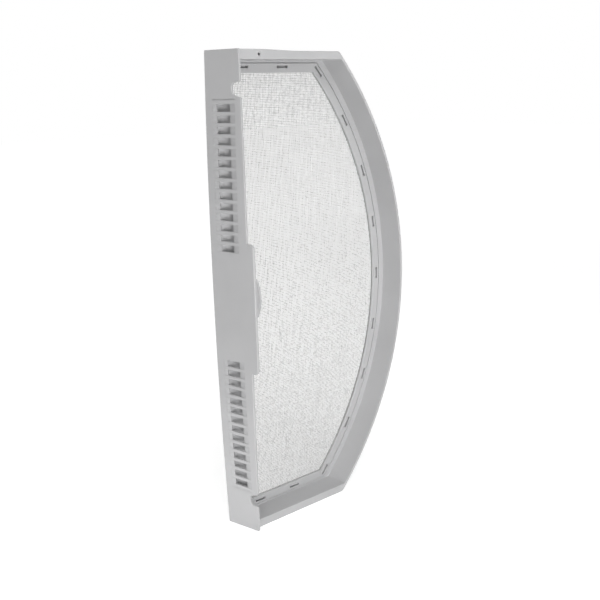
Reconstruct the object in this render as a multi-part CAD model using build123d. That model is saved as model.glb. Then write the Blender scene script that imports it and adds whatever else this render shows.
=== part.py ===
from build123d import *
from math import asin, degrees, radians, sin
import os

os.makedirs("parts", exist_ok=True)

# All sizes are in mm. While it is drawn, x runs from the grille strip to the crown of the rim,
# y runs along the strip and z runs out of the open side of the tray. The last lines stand it on its end.

# Overall form
length = 430.0
rim_radius = 322.1
rim_reach = 190.9
tray_front = 21.9
tray_back = -5.0
corner_round = 5.0

# Inside of the tray: the rails are upright and the arc wall leans out by its draft, from the floor up
rail_thick = 8.0
rim_foot = 5.6
cavity_round = 3.0
wall_draft = 7.5
floor_level = -0.6

# Rails at the two short ends, of which the upper one steps in over a ramp
rail_skin = 2.0
rail_rib = 2.0
rail_bays = 3
rail_bay_start = 4.0
rail_bay_end = 100.0
rail_edge_break = 0.5
rail_step = 1.2
ramp_start = 28.0
ramp_end = 60.0
mark_along = 24.0
mark_size = 3.2
mark_deep = 3.0

# Grille strip: a flat plate that leans out at the back, measured from its front edge
strip_lean = 18.7
strip_front = 27.6
strip_wide = 35.3
strip_bow = 4.4
strip_thick = 2.3
strip_corner = 1.0
strip_edge_break = 0.45
lip_reach = 6.6
lip_half = 58.4
lip_round = 4.0
tab_middle = 11.2
tab_half = 17.0
tab_reach = 3.7
tab_root = 5.0
tab_thick = 2.0
notch_from_end = 31.0
notch_mouth = 12.6
notch_floor = 9.0
notch_deep = 8.5
notch_round = 1.9
notch_floor_round = 3.4

# Louvre slots in the strip, a set distance from its bowed back edge
slot_count = 14
slot_pitch = 9.0
slot_from_notch = 14.4
slot_high = 6.1
slot_wide = 13.0
slot_from_back = 18.2
scoop_front = 6.0
scoop_front_deep = 1.5
scoop_back = 4.0
scoop_back_deep = 0.7
slot_undercut = 0.8
slot_overcut = 0.4
blade_break = 0.5
end_line_gap = 3.5
end_line_wide = 1.4
end_line_deep = 1.2

# Channel behind each set of slots: a wall on the tray's floor, beside the strip and closed at both ends
channel_deep = 4.2
channel_wall = 1.4
channel_end = 3.8
channel_above = 2.0
channel_root = 3.7

# Border of the screen and its seat
border_thick = 3.0
border_wide = 8.2
border_break = 0.6
border_gap = 0.25
border_arc_gap = 0.7
shelf_wide = 6.2
opening_from_rim = 14.7
opening_from_rail = 10.2
opening_start = 8.0

# Clamp windows in the border
window_long = 11.4
window_bar = 1.7
window_end = 2.2
socket_deep = 1.4
socket_play = 0.3
window_arc_count = 9
window_corner_back = 5.5
window_inset = 4.9
window_side_shares = (0.2204, 0.635)

# Woven screen
screen_base = 0.4
screen_ridge = 0.2
screen_grip = 2.4
screen_play = 0.05
screen_level = -1.8
ridge_stop = 0.2
thread_pitch = 4.6
thread_wide = 1.3
gap_size = 2.4
gap_every = 5
gap_margin = 4.0

# Worked out from the values above
half = length / 2
notch_middle = half - notch_from_end
arc_x = rim_reach - rim_radius
cavity_half = half - rail_thick
cavity_radius = rim_radius - rim_foot
opening_half = cavity_half - opening_from_rail
opening_radius = cavity_radius - opening_from_rim
screen_back = screen_level - screen_base - 2 * screen_ridge
border_back = -border_thick
strip_reach = (strip_wide + strip_bow) * sin(radians(strip_lean))
start_x = -2 * strip_reach
overcut = 1.0


def d_outline(start, side, radius):
    """The D-shaped face between a straight side, two short ends and the big arc."""
    disc = Pos(arc_x, 0) * Circle(radius)
    block = Pos(start + rim_radius, 0) * Rectangle(2 * rim_radius, 2 * side)
    return disc & block


def slab(face, low, high):
    """A flat face turned into a plate between two levels."""
    return extrude(Pos(0, 0, low) * face, amount=high - low)


def box_between(x0, x1, y0, y1, z0, z1):
    """A box from its two corners."""
    middle = Pos((x0 + x1) / 2, (y0 + y1) / 2, (z0 + z1) / 2)
    return middle * Box(x1 - x0, y1 - y0, z1 - z0)


def crown_corners(face):
    """The two corners where the short ends meet the big arc."""
    return face.vertices().sort_by(Axis.X)[-2:]


# The strip is drawn upright with its front edge at the origin, then leaned over and moved to its place
lean_over = Pos(0, 0, strip_front) * Rot(0, strip_lean, 0)
strip_plane = Plane(origin=(0, 0, 0), x_dir=(0, 1, 0), z_dir=(1, 0, 0))

# Tray: rails, rim wall and floor
step_cut = Polyline(
    (ramp_start, half),
    (ramp_end, half - rail_step),
    (rim_reach, half - rail_step),
    (rim_reach, half + overcut),
    (ramp_start, half + overcut),
    close=True,
)
outer = d_outline(start_x, half, rim_radius) - make_face(step_cut)
outer = fillet(crown_corners(outer), corner_round)
tray = slab(outer, tray_back, tray_front)
front_edges = tray.faces().sort_by(Axis.Z)[-1].edges()
tray = chamfer([e for e in front_edges if e.center().X > start_x + 1], rail_edge_break)
cavity_high = tray_front + overcut - floor_level
arc_cone = extrude(Pos(arc_x, 0, floor_level) * Circle(cavity_radius), amount=cavity_high, taper=-wall_draft)
cavity = arc_cone & box_between(start_x - overcut, length, -cavity_half, cavity_half, floor_level, length)
crown_edges = [e for e in cavity.edges() if e.center().X > 0 and e.bounding_box().size.Z > 1]
cavity = fillet(crown_edges, cavity_round)
tray -= cavity

# Seat for the border and the shelf under it
border_outer = d_outline(
    opening_start - border_wide,
    opening_half + border_wide,
    opening_radius + border_wide,
)
seat = d_outline(
    opening_start - border_wide - border_gap,
    opening_half + border_wide + border_gap,
    opening_radius + border_wide + border_arc_gap,
)
shelf_inset = border_wide - shelf_wide
shelf_opening = d_outline(
    opening_start - shelf_inset,
    opening_half + shelf_inset,
    opening_radius + shelf_inset,
)
tray -= slab(seat, border_back, floor_level + overcut)
tray -= slab(shelf_opening, tray_back - overcut, floor_level + overcut)

# Hollow rails, open at the back, with cross ribs
bay_long = (rail_bay_end - rail_bay_start - (rail_bays - 1) * rail_rib) / rail_bays
for side in (-1, 1):
    for bay in range(rail_bays):
        bay_x = rail_bay_start + bay * (bay_long + rail_rib)
        bay_in = side * (cavity_half + rail_skin)
        bay_out = side * (half - rail_step - rail_skin)
        tray -= box_between(
            bay_x, bay_x + bay_long, min(bay_in, bay_out), max(bay_in, bay_out),
            tray_back - overcut, tray_front - rail_skin,
        )

# Small hole in the front of the upper rail
mark_at = Pos(mark_along, (half + cavity_half) / 2, tray_front - mark_deep)
tray -= mark_at * extrude(RegularPolygon(mark_size / 2, 4), amount=mark_deep + overcut)

# The tray stops inside the thickness of the leaning strip
outside = box_between(-length, strip_thick / 2, -length, length, -length, length)
tray -= lean_over * outside

# Grille strip, drawn along its length and across its width
back_edge = ThreePointArc((-half, -strip_wide), (0, -strip_wide - strip_bow), (half, -strip_wide))
front_edge = Polyline((half, -strip_wide), (half, 0), (-half, 0), (-half, -strip_wide))
strip_face = make_face([back_edge, front_edge])
strip_face += Pos(0, (lip_reach - overcut) / 2) * Rectangle(2 * lip_half, lip_reach + overcut)
for side in (-1, 1):
    notch = Polyline(
        (side * notch_middle - notch_mouth / 2, 0),
        (side * notch_middle - notch_floor / 2, -notch_deep),
        (side * notch_middle + notch_floor / 2, -notch_deep),
        (side * notch_middle + notch_mouth / 2, 0),
        close=True,
    )
    notch_face = make_face(notch)
    notch_face = fillet(notch_face.vertices().sort_by(Axis.Y)[:2], notch_floor_round)
    strip_face -= notch_face
end_corners = [v for v in strip_face.vertices() if abs(v.X) > half - 0.1]
strip_face = fillet(end_corners, strip_corner)
lip_corners = [v for v in strip_face.vertices() if v.Y > lip_reach - 0.1]
strip_face = fillet(lip_corners, lip_round)
strip_mouths = [v for v in strip_face.vertices() if abs(v.Y) < 0.1]
notch_mouths = [v for v in strip_mouths if abs(abs(v.X) - notch_middle) < notch_mouth]
strip_face = fillet(notch_mouths, notch_round)
strip = extrude(strip_plane * strip_face, amount=strip_thick)
strip = chamfer(strip.faces().sort_by(Axis.X)[0].edges(), strip_edge_break)

# Finger tab under the front of the lip
tab_left = (tab_middle - tab_half, lip_reach)
tab_right = (tab_middle + tab_half, lip_reach)
tab_curve = ThreePointArc(tab_left, (tab_middle, lip_reach + tab_reach), tab_right)
tab_foot = Polyline(
    tab_right,
    (tab_middle + tab_half, lip_reach - tab_root),
    (tab_middle - tab_half, lip_reach - tab_root),
    tab_left,
)
tab = extrude(strip_plane * Pos(0, 0, strip_thick) * make_face([tab_curve, tab_foot]), amount=tab_thick)
grille = strip + tab


def slot_line(along):
    """Where the middle of a slot lies across the strip, at a place along it."""
    return slot_from_back - strip_wide - strip_bow * (1 - (along / half) ** 2)


def bowed_band(y0, y1, low, high):
    """A band along the line of the slots, between two places along the strip."""
    ends = {}
    for name, off in (("low", low), ("high", high)):
        ends[name] = [(y, slot_line(y) + off) for y in (y0, (y0 + y1) / 2, y1)]
    outline = [
        ThreePointArc(*ends["low"]),
        Line(ends["low"][2], ends["high"][2]),
        ThreePointArc(*ends["high"]),
        Line(ends["high"][0], ends["low"][0]),
    ]
    return make_face(outline)


# Channels behind the slots
hole_low = -slot_wide / 2
hole_high = slot_wide / 2
scoop_low = hole_low - scoop_back
scoop_high = hole_high + scoop_front
slot_last = notch_middle - slot_from_notch
slot_nearest = slot_last - (slot_count - 1) * slot_pitch
zone_low = slot_nearest - slot_high / 2 - channel_end
zone_high = slot_last + slot_high / 2 + channel_end
channel_low = hole_low - channel_root
channel_high = hole_high + channel_above
for side in (-1, 1):
    block = bowed_band(side * zone_low, side * zone_high, channel_low, channel_high)
    channel = extrude(strip_plane * Pos(0, 0, strip_thick) * block, amount=channel_deep + channel_wall)
    hollow = bowed_band(
        side * (zone_low + channel_wall), side * (zone_high - channel_wall),
        channel_low - overcut, channel_high + overcut,
    )
    channel -= extrude(strip_plane * Pos(0, 0, strip_thick) * hollow, amount=channel_deep)
    grille += channel
frame = tray + lean_over * grille

# Slots with a scoop at both ends and broken edges, and a fine line across the far end of each set
slot_wire = Polyline(
    (-overcut, -slot_high / 2, scoop_low),
    (0, -slot_high / 2, scoop_low),
    (scoop_back_deep, -slot_high / 2, hole_low),
    (strip_thick + slot_overcut, -slot_high / 2, hole_low - slot_undercut),
    (strip_thick + slot_overcut, -slot_high / 2, hole_high),
    (scoop_front_deep, -slot_high / 2, hole_high),
    (0, -slot_high / 2, scoop_high),
    (-overcut, -slot_high / 2, scoop_high),
    close=True,
)
slot_tool = extrude(make_face(slot_wire), amount=slot_high, dir=(0, 1, 0))
mouth_wire = Polyline(
    (-overcut, -slot_high / 2 - blade_break - overcut, scoop_low),
    (blade_break, -slot_high / 2, scoop_low),
    (blade_break, slot_high / 2, scoop_low),
    (-overcut, slot_high / 2 + blade_break + overcut, scoop_low),
    close=True,
)
slot_tool += extrude(make_face(mouth_wire), amount=scoop_high - scoop_low, dir=(0, 0, 1))
line_wire = Polyline(
    (-overcut, -end_line_wide / 2, scoop_low),
    (0, -end_line_wide / 2, scoop_low),
    (end_line_deep, 0, scoop_low),
    (0, end_line_wide / 2, scoop_low),
    (-overcut, end_line_wide / 2, scoop_low),
    close=True,
)
line_tool = extrude(make_face(line_wire), amount=scoop_high - scoop_low, dir=(0, 0, 1))
line_along = slot_last + slot_high / 2 + end_line_gap
slot_tools = []
for side in (-1, 1):
    for n in range(slot_count):
        along = side * (slot_nearest + n * slot_pitch)
        slot_tools.append(lean_over * Pos(0, along, slot_line(along)) * slot_tool)
    slot_tools.append(lean_over * Pos(0, side * line_along, slot_line(line_along)) * line_tool)
frame = frame - slot_tools

# Border of the screen, with its groove and clamp windows
border = slab(border_outer, border_back, 0)
opening = d_outline(opening_start, opening_half, opening_radius)
border -= slab(opening, border_back - overcut, overcut)
border = chamfer(border.faces().sort_by(Axis.Z)[-1].edges(), border_break)
groove = d_outline(
    opening_start - screen_grip - screen_play,
    opening_half + screen_grip + screen_play,
    opening_radius + screen_grip + screen_play,
)
border -= slab(groove, screen_back - screen_play, screen_level + screen_play)

window = Rectangle(window_long, window_bar)
for side in (-1, 1):
    window += Pos(side * (window_long - window_end) / 2, 0) * Rectangle(window_end, window_end)
window_tool = slab(window, border_back - overcut, overcut)
socket = offset(window, socket_play, kind=Kind.INTERSECTION)
socket_tool = slab(socket, border_back - socket_deep, border_back)
window_spots = []
window_radius = opening_radius + window_inset
window_side = opening_half + window_inset
window_arc_end = degrees(asin(window_side / window_radius)) - degrees(window_corner_back / window_radius)
window_arc_step = 2 * window_arc_end / (window_arc_count - 1)
for k in range(window_arc_count):
    turn = k * window_arc_step - window_arc_end
    window_spots.append(Pos(arc_x, 0) * Rot(0, 0, turn) * Pos(window_radius, 0) * Rot(0, 0, 90))
window_side_end = arc_x + (window_radius ** 2 - window_side ** 2) ** 0.5
for side in (-1, 1):
    for share in window_side_shares:
        window_spots.append(Pos(share * window_side_end, side * window_side))
border = border - [spot * window_tool for spot in window_spots]
frame = frame - [spot * socket_tool for spot in window_spots]

# Woven screen: a thin wall with thread ridges on both faces and a regular set of gaps
screen_outline = d_outline(
    opening_start - screen_grip,
    opening_half + screen_grip,
    opening_radius + screen_grip,
)
base_low = screen_back + screen_ridge
base_high = screen_level - screen_ridge
warp_count = int((rim_reach - opening_start) / thread_pitch)
weft_count = int(opening_half / thread_pitch)
gap_spots = []
for n in range(1, warp_count, gap_every):
    for m in range(-weft_count + 1, weft_count, gap_every):
        gap_x = opening_start + (n + 1) * thread_pitch
        gap_y = (m + 0.5) * thread_pitch
        reach = ((gap_x - arc_x + gap_size) ** 2 + (abs(gap_y) + gap_size) ** 2) ** 0.5
        if reach < opening_radius - gap_margin and abs(gap_y) < opening_half - gap_margin:
            gap_spots.append(Pos(gap_x, gap_y))
screen_wall = screen_outline - [spot * Rectangle(gap_size, gap_size) for spot in gap_spots]
warp_lines = Sketch() + [
    Pos(opening_start + (n + 0.5) * thread_pitch, 0) * Rectangle(thread_wide, length)
    for n in range(warp_count)
]
weft_lines = Sketch() + [
    Pos(half, n * thread_pitch) * Rectangle(length, thread_wide)
    for n in range(-weft_count, weft_count + 1)
]
inside = d_outline(opening_start + ridge_stop, opening_half - ridge_stop, opening_radius - ridge_stop)
screen = slab(screen_wall, base_low, base_high)
screen += slab(warp_lines & inside, base_high, screen_level)
screen += slab(weft_lines & inside, screen_back, base_low)

# Stand the filter on its lower rail, with the open side of the tray to the front
whole = frame.bounding_box()
stand = Pos(-whole.center().X, whole.center().Z, half) * Rot(90, 0, 0)
print("drawing origin in the row", -whole.center().X, whole.center().Z, half, "gaps", len(gap_spots))
nodes = {"frame": frame, "screen_border": border, "screen_mesh": screen}
for name, shape in nodes.items():
    placed = stand * shape
    export_step(placed, f"parts/{name}.step")
    print(name, len(placed.solids()), round(placed.volume / 1000, 2), "cm3", len(placed.faces()), "faces")
    print(placed.bounding_box())
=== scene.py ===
"""Looks of a tumble dryer lint filter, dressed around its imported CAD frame."""
import logging
import math
from dataclasses import dataclass
from enum import Enum
from typing import Any

import bmesh
import bpy
from mathutils import Matrix, Vector


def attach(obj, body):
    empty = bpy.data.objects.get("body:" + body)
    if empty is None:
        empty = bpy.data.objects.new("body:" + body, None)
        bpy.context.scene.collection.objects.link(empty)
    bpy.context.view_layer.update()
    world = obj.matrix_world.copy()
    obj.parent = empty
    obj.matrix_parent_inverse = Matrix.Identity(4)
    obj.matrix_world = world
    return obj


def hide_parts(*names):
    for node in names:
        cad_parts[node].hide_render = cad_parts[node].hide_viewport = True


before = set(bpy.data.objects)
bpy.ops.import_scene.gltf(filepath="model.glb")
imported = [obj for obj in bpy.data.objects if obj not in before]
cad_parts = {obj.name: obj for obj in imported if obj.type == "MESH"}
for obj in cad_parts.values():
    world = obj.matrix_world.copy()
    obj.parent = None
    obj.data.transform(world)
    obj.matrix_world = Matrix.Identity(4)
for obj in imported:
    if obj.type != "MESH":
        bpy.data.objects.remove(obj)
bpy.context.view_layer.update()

LOG = logging.getLogger("lint_filter")
MM = 0.001
BODY = "root"

# Where the drawing's origin lies in the row frame, in mm. The drawing runs across from the strip
# to the crown, out of the open side, and along the strip.
DRAWING_SHIFT = (-89.158, 12.939, 215.0)

# The sRGB curve is a straight line up to its knee and a power above it
SRGB_KNEE = 0.04045
SRGB_SLOPE = 12.92
SRGB_OFFSET = 0.055
SRGB_POWER = 2.4

Inputs = dict[str | int, Any]
Pair = tuple[float, float]
Triple = tuple[float, float, float]


def at(across: float, out: float, along: float) -> Vector:
    """Turns a place on the drawing into a place in the row frame.

    Args:
        across: distance in mm from the strip's front edge towards the crown.
        out: distance in mm out of the open side of the tray.
        along: distance in mm along the strip from its middle.

    Returns:
        The same place in metres.
    """
    shift_x, shift_y, shift_z = DRAWING_SHIFT
    return Vector((across + shift_x, shift_y - out, along + shift_z)) * MM


def to_linear(hex_colour: str) -> tuple[float, float, float, float]:
    """Turns an sRGB hex colour into the linear colour that a shader takes.

    Args:
        hex_colour: six hex digits, with or without a leading hash.

    Returns:
        Linear red, green, blue and an alpha of one.
    """
    channels = []
    for value in bytes.fromhex(hex_colour.lstrip("#")):
        level = value / 255
        if level <= SRGB_KNEE:
            channels.append(level / SRGB_SLOPE)
        else:
            channels.append(((level + SRGB_OFFSET) / (1 + SRGB_OFFSET)) ** SRGB_POWER)
    return channels[0], channels[1], channels[2], 1.0


def add_node(
    tree: bpy.types.NodeTree, kind: str, values: Inputs | None = None, **settings: Any,
) -> bpy.types.Node:
    """Adds one node with its settings, input values and links.

    Args:
        tree: the node tree that takes the node.
        kind: the node's type name.
        values: input name or number to a plain value, or to an output socket that is linked to it.
        **settings: properties of the node itself.

    Returns:
        The new node.
    """
    node = tree.nodes.new(kind)
    for name, value in settings.items():
        setattr(node, name, value)
    for name, value in (values or {}).items():
        socket = node.inputs[name]
        if isinstance(value, bpy.types.NodeSocket):
            tree.links.new(value, socket)
        else:
            socket.default_value = value
    return node


def start_material(name: str) -> tuple[bpy.types.Material, bpy.types.NodeTree]:
    """Makes an empty node material.

    Args:
        name: the material's name.

    Returns:
        The material and its cleared node tree.
    """
    material = bpy.data.materials.new(name)
    material.use_nodes = True
    material.node_tree.nodes.clear()
    return material, material.node_tree


def clear_selection() -> None:
    """Deselects every object, so that the next operator acts on its own piece alone."""
    for other in bpy.context.selected_objects:
        other.select_set(False)


def only(piece: bpy.types.Object) -> None:
    """Makes one object the only one that is selected and active.

    Args:
        piece: the object that the next operators act on.
    """
    clear_selection()
    piece.select_set(True)
    bpy.context.view_layer.objects.active = piece


def apply_modifiers(piece: bpy.types.Object) -> None:
    """Applies all modifiers of a piece in their order, and leaves it active.

    Args:
        piece: the mesh object that has them.
    """
    only(piece)
    for modifier in list(piece.modifiers):
        bpy.ops.object.modifier_apply(modifier=modifier.name)


def settle(piece: bpy.types.Object) -> None:
    """Puts the place, turn and size of a piece into its mesh, and leaves it active.

    Args:
        piece: the mesh object.
    """
    only(piece)
    bpy.ops.object.transform_apply(location=True, rotation=True, scale=True)


def put_in_place(piece: bpy.types.Object, node: str, material: bpy.types.Material) -> None:
    """Gives a piece its material and lets it stand for a CAD node.

    Args:
        piece: the finished mesh object.
        node: the CAD node that the piece stands for, which is hidden.
        material: the piece's only material.
    """
    piece.data.materials.clear()
    piece.data.materials.append(material)
    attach(piece, BODY)
    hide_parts(node)


@dataclass(frozen=True)
class MouldedPlastic:
    """Injection moulded polypropylene with a fine spark-eroded grain.

    It is an even mid grey with a satin sheen: the grain breaks up reflections into soft patches,
    and slow changes in the flow of the melt leave faint cloudy differences in tone.
    The real grain is a third of a millimetre wide, and it is drawn coarser so that it shows.
    """

    name: str
    colour: str
    cloud_colour: str
    roughness: float = 0.46
    ior: float = 1.49
    cloud_mm: float = 55.0
    cloud_detail: float = 3.0
    cloud_fineness: float = 0.55
    cloud_stops: Pair = (0.35, 0.65)
    grain_mm: float = 0.9
    grain_detail: float = 2.0
    grain_fineness: float = 0.6
    grain_levels: Pair = (0.3, 0.7)
    grain_sheen: Pair = (-0.05, 0.07)
    grain_height_mm: float = 0.03
    grain_strength: float = 0.35

    def material(self) -> bpy.types.Material:
        """Builds the node material.

        Returns:
            The new material.
        """
        material, tree = start_material(self.name)
        place = add_node(tree, "ShaderNodeTexCoord").outputs["Object"]
        cloud = add_node(
            tree, "ShaderNodeTexNoise",
            {"Vector": place, "Scale": 1 / (self.cloud_mm * MM),
             "Detail": self.cloud_detail, "Roughness": self.cloud_fineness},
        )
        grain = add_node(
            tree, "ShaderNodeTexNoise",
            {"Vector": place, "Scale": 1 / (self.grain_mm * MM),
             "Detail": self.grain_detail, "Roughness": self.grain_fineness},
        )
        tone = add_node(tree, "ShaderNodeValToRGB", {"Fac": cloud.outputs["Fac"]})
        stops = tone.color_ramp.elements
        stops[0].position, stops[1].position = self.cloud_stops
        stops[0].color, stops[1].color = to_linear(self.colour), to_linear(self.cloud_colour)
        sheen = add_node(
            tree, "ShaderNodeMapRange",
            {"Value": grain.outputs["Fac"],
             "From Min": self.grain_levels[0], "From Max": self.grain_levels[1],
             "To Min": self.roughness + self.grain_sheen[0],
             "To Max": self.roughness + self.grain_sheen[1]},
        )
        bump = add_node(
            tree, "ShaderNodeBump",
            {"Height": grain.outputs["Fac"], "Strength": self.grain_strength,
             "Distance": self.grain_height_mm * MM},
        )
        shader = add_node(
            tree, "ShaderNodeBsdfPrincipled",
            {"Base Color": tone.outputs["Color"], "Roughness": sheen.outputs["Result"],
             "IOR": self.ior, "Normal": bump.outputs["Normal"]},
        )
        add_node(tree, "ShaderNodeOutputMaterial", {"Surface": shader.outputs["BSDF"]})
        return material


@dataclass(frozen=True)
class WovenFilament:
    """White polyester monofilament, drawn and heat set.

    Each thread is a smooth round strand with a soft gloss, and its whiteness differs slightly
    from strand to strand and along it.
    """

    name: str
    colour: str
    dull_colour: str
    roughness: float = 0.38
    gloss_swing: float = 0.06
    ior: float = 1.57
    streak_mm: float = 2.6
    streak_detail: float = 4.0
    streak_fineness: float = 0.7
    streak_stops: Pair = (0.36, 0.64)

    def material(self) -> bpy.types.Material:
        """Builds the node material.

        Returns:
            The new material.
        """
        material, tree = start_material(self.name)
        place = add_node(tree, "ShaderNodeTexCoord").outputs["Object"]
        streak = add_node(
            tree, "ShaderNodeTexNoise",
            {"Vector": place, "Scale": 1 / (self.streak_mm * MM),
             "Detail": self.streak_detail, "Roughness": self.streak_fineness},
        )
        tone = add_node(tree, "ShaderNodeValToRGB", {"Fac": streak.outputs["Fac"]})
        stops = tone.color_ramp.elements
        stops[0].position, stops[1].position = self.streak_stops
        stops[0].color, stops[1].color = to_linear(self.dull_colour), to_linear(self.colour)
        gloss = add_node(
            tree, "ShaderNodeMapRange",
            {"Value": streak.outputs["Fac"], "To Min": self.roughness - self.gloss_swing,
             "To Max": self.roughness + self.gloss_swing},
        )
        shader = add_node(
            tree, "ShaderNodeBsdfPrincipled",
            {"Base Color": tone.outputs["Color"], "Roughness": gloss.outputs["Result"],
             "IOR": self.ior},
        )
        add_node(tree, "ShaderNodeOutputMaterial", {"Surface": shader.outputs["BSDF"]})
        return material


@dataclass(frozen=True)
class StudioPaper:
    """Matte white paper that keeps a soft shadow and looks white to the camera.

    The lamps reach less of it further out, so there its white is lifted more.
    """

    name: str
    colour: str
    near_lift: float
    far_lift: float
    near_mm: float = 250.0
    far_mm: float = 1800.0

    def material(self) -> bpy.types.Material:
        """Builds the node material.

        Returns:
            The new material.
        """
        material, tree = start_material(self.name)
        place = add_node(tree, "ShaderNodeTexCoord").outputs["Object"]
        distance = add_node(tree, "ShaderNodeVectorMath", {0: place}, operation="LENGTH")
        reach = add_node(
            tree, "ShaderNodeMapRange",
            {"Value": distance.outputs["Value"],
             "From Min": self.near_mm * MM, "From Max": self.far_mm * MM,
             "To Min": self.near_lift, "To Max": self.far_lift},
        )
        path = add_node(tree, "ShaderNodeLightPath")
        seen = add_node(
            tree, "ShaderNodeMath",
            {0: path.outputs["Is Camera Ray"], 1: path.outputs["Is Glossy Ray"]},
            operation="MAXIMUM",
        )
        seen = add_node(
            tree, "ShaderNodeMath",
            {0: seen.outputs[0], 1: path.outputs["Is Transmission Ray"]},
            operation="MAXIMUM",
        )
        lift = add_node(
            tree, "ShaderNodeMath",
            {0: seen.outputs[0], 1: reach.outputs["Result"]},
            operation="MULTIPLY",
        )
        paper = add_node(tree, "ShaderNodeBsdfDiffuse", {"Color": to_linear(self.colour)})
        glow = add_node(tree, "ShaderNodeEmission", {"Strength": lift.outputs[0]})
        both = add_node(tree, "ShaderNodeAddShader", {0: paper.outputs[0], 1: glow.outputs[0]})
        add_node(tree, "ShaderNodeOutputMaterial", {"Surface": both.outputs[0]})
        return material


@dataclass(frozen=True)
class Zone:
    """A box on the drawing, in mm, across, out and along."""

    low: Triple
    high: Triple

    def holds(self, place: Vector) -> bool:
        """Tells whether a place in the row frame lies in the box.

        Args:
            place: a place in metres.

        Returns:
            True if it lies inside.
        """
        corners = zip(at(*self.low), at(*self.high), place)
        return all(min(a, b) <= value <= max(a, b) for a, b, value in corners)


# Places in the frame that are out of sight or too fine to be rounded
FRAME_CRISP = (
    # louvres above and below the grip
    Zone((-14, -12, 44), (6, 24, 178)),
    Zone((-14, -12, -178), (6, 24, -44)),
    # bays inside the upper and the lower rail
    Zone((2, -6, 208.5), (102, 20.2, 212.5)),
    Zone((2, -6, -212.5), (102, 20.2, -208.5)),
    # clamp sockets in the border's seat
    Zone((-1, -4.7, -210), (185, -2.9, 210)),
)


@dataclass
class MouldedPiece:
    """A moulding whose form comes from the CAD, with its sharp edges softened as a mould does."""

    node: str
    name: str
    finish: MouldedPlastic
    crisp: tuple[Zone, ...] = ()
    edge_round_mm: float = 0.22
    edge_steps: int = 2
    sharp_deg: float = 50.0
    smooth_deg: float = 35.0
    flat_deg: float = 0.4
    flat_weight: int = 100
    merge_mm: float = 0.002

    def build(self) -> bpy.types.Object:
        """Copies the CAD form, joins its triangles into whole faces and rounds its edges.

        Returns:
            The finished mesh object.
        """
        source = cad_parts[self.node]
        piece = bpy.data.objects.new(self.name, source.data.copy())
        bpy.context.scene.collection.objects.link(piece)
        self._join_faces(piece)
        self._mark_edges(piece)
        self._round_edges(piece)
        return piece

    def _join_faces(self, piece: bpy.types.Object) -> None:
        """Joins the triangles of each flat face into one.

        Args:
            piece: the copied CAD form.
        """
        only(piece)
        bpy.ops.object.mode_set(mode="EDIT")
        bpy.ops.mesh.select_all(action="SELECT")
        bpy.ops.mesh.remove_doubles(threshold=self.merge_mm * MM)
        bpy.ops.mesh.dissolve_limited(angle_limit=math.radians(self.flat_deg))
        bpy.ops.object.mode_set(mode="OBJECT")

    def _mark_edges(self, piece: bpy.types.Object) -> None:
        """Marks the sharp edges to be rounded, and leaves those in the crisp zones as they are.

        Args:
            piece: the CAD form with its faces joined.
        """
        mesh = bmesh.new()
        mesh.from_mesh(piece.data)
        weight = mesh.edges.layers.float.new("bevel_weight_edge")
        limit = math.radians(self.sharp_deg)
        for edge in mesh.edges:
            middle = (edge.verts[0].co + edge.verts[1].co) / 2
            sharp = edge.calc_face_angle(0.0) > limit
            edge[weight] = float(sharp and not any(zone.holds(middle) for zone in self.crisp))
        mesh.to_mesh(piece.data)
        mesh.free()

    def _round_edges(self, piece: bpy.types.Object) -> None:
        """Rounds the marked edges, and keeps the large flat faces shaded flat.

        Args:
            piece: the CAD form with its edges marked.
        """
        rounding = piece.modifiers.new("edge_rounding", "BEVEL")
        rounding.width = self.edge_round_mm * MM
        rounding.segments = self.edge_steps
        rounding.limit_method = "WEIGHT"
        rounding.use_clamp_overlap = False
        apply_modifiers(piece)
        bpy.ops.object.shade_smooth_by_angle(angle=math.radians(self.smooth_deg))
        flats = piece.modifiers.new("flat_faces", "WEIGHTED_NORMAL")
        flats.keep_sharp = True
        flats.weight = self.flat_weight
        apply_modifiers(piece)

    def dress(self) -> bpy.types.Object:
        """Builds the piece, gives it its finish and puts it in the CAD node's place.

        Returns:
            The dressed piece.
        """
        piece = self.build()
        put_in_place(piece, self.node, self.finish.material())
        return piece


class ThreadRun(Enum):
    """The two ways that a thread runs in the weave."""

    WARP = "warp"
    WEFT = "weft"


@dataclass(frozen=True)
class StrandSet:
    """Where a set of parallel strands starts, how it runs and how often it repeats.

    The start is in metres in the row frame, the turn in radians and the span in mm.
    """

    start: Vector
    turn: Triple
    along: Vector
    beside: Vector
    sway_axis: str
    span: float
    count: int


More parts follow.
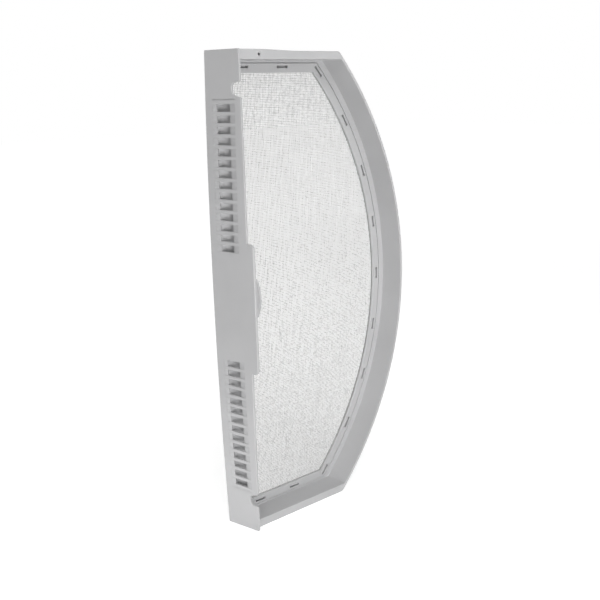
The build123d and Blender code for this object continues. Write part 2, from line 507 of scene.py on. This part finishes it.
@dataclass
class WovenScreen:
    """The filter cloth, woven from two sets of strands and held in the border's groove.

    The real strands are about half a millimetre apart, and they are drawn coarser so that they
    show. They sway a little from side to side, as the threads of a stretched cloth do.
    Sizes are in mm on the drawing. The opening is the border's, tuck is how far the strands reach
    into its groove, and ripple is the length of a sway.
    """

    finish: WovenFilament
    node: str = "screen_mesh"
    name: str = "woven_screen"
    arc_centre: float = -131.2
    opening_start: float = 8.0
    opening_half: float = 196.8
    opening_radius: float = 301.8
    tuck: float = 2.0
    pitch: float = 1.4
    strand: float = 0.42
    strand_sides: int = 6
    strand_step: float = 9.0
    sway: float = 1.6
    ripple: float = 5.0
    front_level: float = -1.98
    back_level: float = -2.4
    cutter_depth: float = 6.0
    arc_steps: int = 360
    smooth_deg: float = 70.0

    def outline_cutter(self) -> bpy.types.Object:
        """Makes the D-shaped block that the strands are trimmed to.

        Returns:
            The closed block, at its place.
        """
        clear_selection()
        front = (self.front_level + self.back_level) / 2 + self.cutter_depth / 2
        bpy.ops.mesh.primitive_circle_add(
            vertices=self.arc_steps, radius=(self.opening_radius + self.tuck) * MM,
            fill_type="NGON", location=at(self.arc_centre, front, 0), rotation=(math.pi / 2, 0, 0),
        )
        cutter = bpy.context.object
        settle(cutter)
        bpy.ops.object.mode_set(mode="EDIT")
        cuts = (
            (at(self.opening_start - self.tuck, front, 0), (-1, 0, 0)),
            (at(0, front, self.opening_half + self.tuck), (0, 0, 1)),
            (at(0, front, -self.opening_half - self.tuck), (0, 0, -1)),
        )
        for place, outwards in cuts:
            bpy.ops.mesh.select_all(action="SELECT")
            bpy.ops.mesh.bisect(plane_co=place, plane_no=outwards, clear_outer=True)
        bpy.ops.mesh.select_all(action="SELECT")
        bpy.ops.mesh.extrude_region_move(
            TRANSFORM_OT_translate={"value": (0, self.cutter_depth * MM, 0)},
        )
        bpy.ops.mesh.select_all(action="SELECT")
        bpy.ops.mesh.normals_make_consistent(inside=False)
        bpy.ops.object.mode_set(mode="OBJECT")
        return cutter

    def layout(self, run: ThreadRun) -> StrandSet:
        """Works out how a set of strands lies across the opening.

        Args:
            run: the way that the strands run.

        Returns:
            The place and the repeat of the set, a little longer than the opening.
        """
        crown = self.arc_centre + self.opening_radius
        spare = 2 * self.tuck
        if run is ThreadRun.WARP:
            count = int((crown - self.opening_start) / self.pitch)
            first = (self.opening_start + crown - (count - 1) * self.pitch) / 2
            return StrandSet(
                start=at(first, self.front_level, -self.opening_half - spare), turn=(0, 0, 0),
                along=Vector((0, 0, 1)), beside=Vector((1, 0, 0)), sway_axis="X",
                span=2 * (self.opening_half + spare), count=count,
            )
        count = int(2 * self.opening_half / self.pitch)
        first = -(count - 1) / 2 * self.pitch
        return StrandSet(
            start=at(self.opening_start - spare, self.back_level, first), turn=(0, math.pi / 2, 0),
            along=Vector((1, 0, 0)), beside=Vector((0, 0, 1)), sway_axis="Z",
            span=crown - self.opening_start + 2 * spare, count=count,
        )

    def strands(self, run: ThreadRun, cutter: bpy.types.Object) -> bpy.types.Object:
        """Lays one set of parallel strands across the opening and trims it to the outline.

        Args:
            run: the way that the strands run.
            cutter: the block that they are trimmed to.

        Returns:
            The trimmed and swaying strands as one mesh.
        """
        lay = self.layout(run)
        piece = self._first_strand(lay)
        piece.name = f"{self.name}_{run.value}"
        repeat = piece.modifiers.new("repeat", "ARRAY")
        repeat.count = lay.count
        repeat.use_relative_offset = False
        repeat.use_constant_offset = True
        repeat.constant_offset_displace = lay.beside * (self.pitch * MM)
        trim = piece.modifiers.new("trim", "BOOLEAN")
        trim.operation = "INTERSECT"
        trim.solver = "EXACT"
        trim.object = cutter
        waves = bpy.data.textures.new(f"{run.value}_waves", "CLOUDS")
        waves.noise_scale = self.ripple * MM
        swaying = piece.modifiers.new("sway", "DISPLACE")
        swaying.texture = waves
        swaying.texture_coords = "LOCAL"
        swaying.direction = lay.sway_axis
        swaying.strength = self.sway * MM
        apply_modifiers(piece)
        return piece

    def _first_strand(self, lay: StrandSet) -> bpy.types.Object:
        """Draws the first strand of a set, in steps that let it sway.

        Args:
            lay: how the set lies.

        Returns:
            The straight strand, closed at both ends.
        """
        clear_selection()
        bpy.ops.mesh.primitive_circle_add(
            vertices=self.strand_sides, radius=self.strand / 2 * MM, fill_type="NGON",
            location=lay.start, rotation=lay.turn,
        )
        piece = bpy.context.object
        settle(piece)
        steps = round(lay.span / self.strand_step)
        bpy.ops.object.mode_set(mode="EDIT")
        bpy.ops.mesh.select_all(action="SELECT")
        for _ in range(steps):
            bpy.ops.mesh.extrude_region_move(
                TRANSFORM_OT_translate={"value": lay.along * (lay.span / steps * MM)},
            )
        bpy.ops.mesh.select_all(action="SELECT")
        bpy.ops.mesh.normals_make_consistent(inside=False)
        bpy.ops.object.mode_set(mode="OBJECT")
        return piece

    def dress(self) -> bpy.types.Object:
        """Weaves the screen, gives it its finish and puts it in the CAD node's place.

        Returns:
            The dressed screen.
        """
        cutter = self.outline_cutter()
        parts = [self.strands(run, cutter) for run in ThreadRun]
        bpy.data.objects.remove(cutter)
        only(parts[0])
        parts[1].select_set(True)
        bpy.ops.object.join()
        screen = bpy.context.object
        screen.name = self.name
        bpy.ops.object.shade_smooth_by_angle(angle=math.radians(self.smooth_deg))
        put_in_place(screen, self.node, self.finish.material())
        return screen


@dataclass(frozen=True)
class Softbox:
    """A square lamp with a white cloth front, and a grid where its beam is kept narrow.

    Places and the size are in metres in the row frame, and the power is in watts.
    """

    name: str
    place: Triple
    target: Triple
    size: float
    power: float
    spread_deg: float = 180.0

    def hang(self) -> None:
        """Adds the lamp and points it at its target."""
        data = bpy.data.lights.new(self.name, "AREA")
        data.size = self.size
        data.energy = self.power
        data.spread = math.radians(self.spread_deg)
        lamp = bpy.data.objects.new(self.name, data)
        lamp.location = self.place
        aim = Vector(self.target) - Vector(self.place)
        lamp.rotation_euler = aim.to_track_quat("-Z", "Y").to_euler()
        bpy.context.scene.collection.objects.link(lamp)


@dataclass
class Studio:
    """White paper floor, soft lamps and the camera at the photograph's place.

    The eye is a place on the drawing in mm, and right and up are directions in the row frame.
    Sky is the strength of the world's even light on the object, while the camera sees it white.
    """

    paper: StudioPaper
    floor_half: float = 6.0
    lens_mm: float = 45.857
    sensor_mm: float = 36.0
    clip_start: float = 0.01
    eye: Triple = (-349.832, 553.804, 184.527)
    right: Triple = (0.7882674, -0.6148724, -0.0237992)
    up: Triple = (0.1832216, 0.1976164, 0.9630045)
    sky: float = 0.25
    white: float = 1.0
    lamps: tuple[Softbox, ...] = (
        Softbox("overhead_softbox", (-0.20, -0.75, 1.50), (0.0, 0.0, 0.20), size=1.1, power=11.4),
        Softbox(
            "low_front_softbox", (-0.30, -0.90, 0.05), (0.0, -0.01, 0.17),
            size=0.5, power=2.2, spread_deg=90.0,
        ),
        Softbox("low_left_card", (-0.24, -0.02, 0.02), (-0.10, 0.0, 0.0), size=0.08, power=0.071),
        Softbox("high_left_softbox", (-0.70, -0.30, 1.00), (-0.10, 0.0, 0.40), size=0.4, power=0.7),
        Softbox(
            "back_softbox", (0.80, 2.40, 1.00), (0.0, 0.0, 0.21),
            size=0.8, power=2.0, spread_deg=40.0,
        ),
    )

    def floor(self) -> None:
        """Lays the paper floor under the part."""
        clear_selection()
        bpy.ops.mesh.primitive_plane_add(size=2 * self.floor_half, location=(0, 0, 0))
        floor = bpy.context.object
        floor.name = "studio_floor"
        floor.data.materials.append(self.paper.material())

    def light(self) -> None:
        """Hangs the lamps and sets the world's even light."""
        for lamp in self.lamps:
            lamp.hang()
        world = bpy.data.worlds.new("studio_world")
        bpy.context.scene.world = world
        world.use_nodes = True
        tree = world.node_tree
        tree.nodes.clear()
        path = add_node(tree, "ShaderNodeLightPath")
        seen = add_node(
            tree, "ShaderNodeMath",
            {0: path.outputs["Is Camera Ray"], 1: path.outputs["Is Transmission Ray"]},
            operation="MAXIMUM",
        )
        strength = add_node(
            tree, "ShaderNodeMapRange",
            {"Value": seen.outputs[0], "To Min": self.sky, "To Max": self.white},
        )
        glow = add_node(
            tree, "ShaderNodeBackground",
            {"Color": (1, 1, 1, 1), "Strength": strength.outputs["Result"]},
        )
        add_node(tree, "ShaderNodeOutputWorld", {"Surface": glow.outputs["Background"]})

    def camera(self) -> None:
        """Puts the camera where the photograph was taken from."""
        data = bpy.data.cameras.new("photo_camera")
        data.lens = self.lens_mm
        data.sensor_width = self.sensor_mm
        data.clip_start = self.clip_start
        right, up = Vector(self.right), Vector(self.up)
        turn = Matrix((right, up, right.cross(up))).transposed().to_4x4()
        camera = bpy.data.objects.new("photo_camera", data)
        camera.matrix_world = Matrix.Translation(at(*self.eye)) @ turn
        bpy.context.scene.collection.objects.link(camera)
        bpy.context.scene.camera = camera

    def build(self) -> None:
        """Sets up the whole studio."""
        self.floor()
        self.light()
        self.camera()
        bpy.context.scene.view_settings.view_transform = "Standard"


def main() -> None:
    """Builds each piece in order and reports it."""
    logging.basicConfig(level=logging.INFO, format="%(name)s: %(message)s")
    Studio(StudioPaper("matte_white_paper", "#F2F2F2", near_lift=0.46, far_lift=0.79)).build()
    frame_grey = MouldedPlastic("moulded_frame_polypropylene", "#BDBDBE", "#B8B8B9")
    border_grey = MouldedPlastic("moulded_border_polypropylene", "#BCBCBD", "#B7B7B8")
    for moulding in (
        MouldedPiece("frame", "moulded_frame", frame_grey, FRAME_CRISP),
        MouldedPiece("screen_border", "moulded_screen_border", border_grey, edge_round_mm=0.1),
    ):
        piece = moulding.dress()
        LOG.info("%s: %d faces", piece.name, len(piece.data.polygons))
    weave = WovenScreen(WovenFilament("woven_polyester", "#E2E2E1", "#A2A2A1"))
    screen = weave.dress()
    LOG.info("%s: %d faces", screen.name, len(screen.data.polygons))


if __name__ == "__main__":
    main()
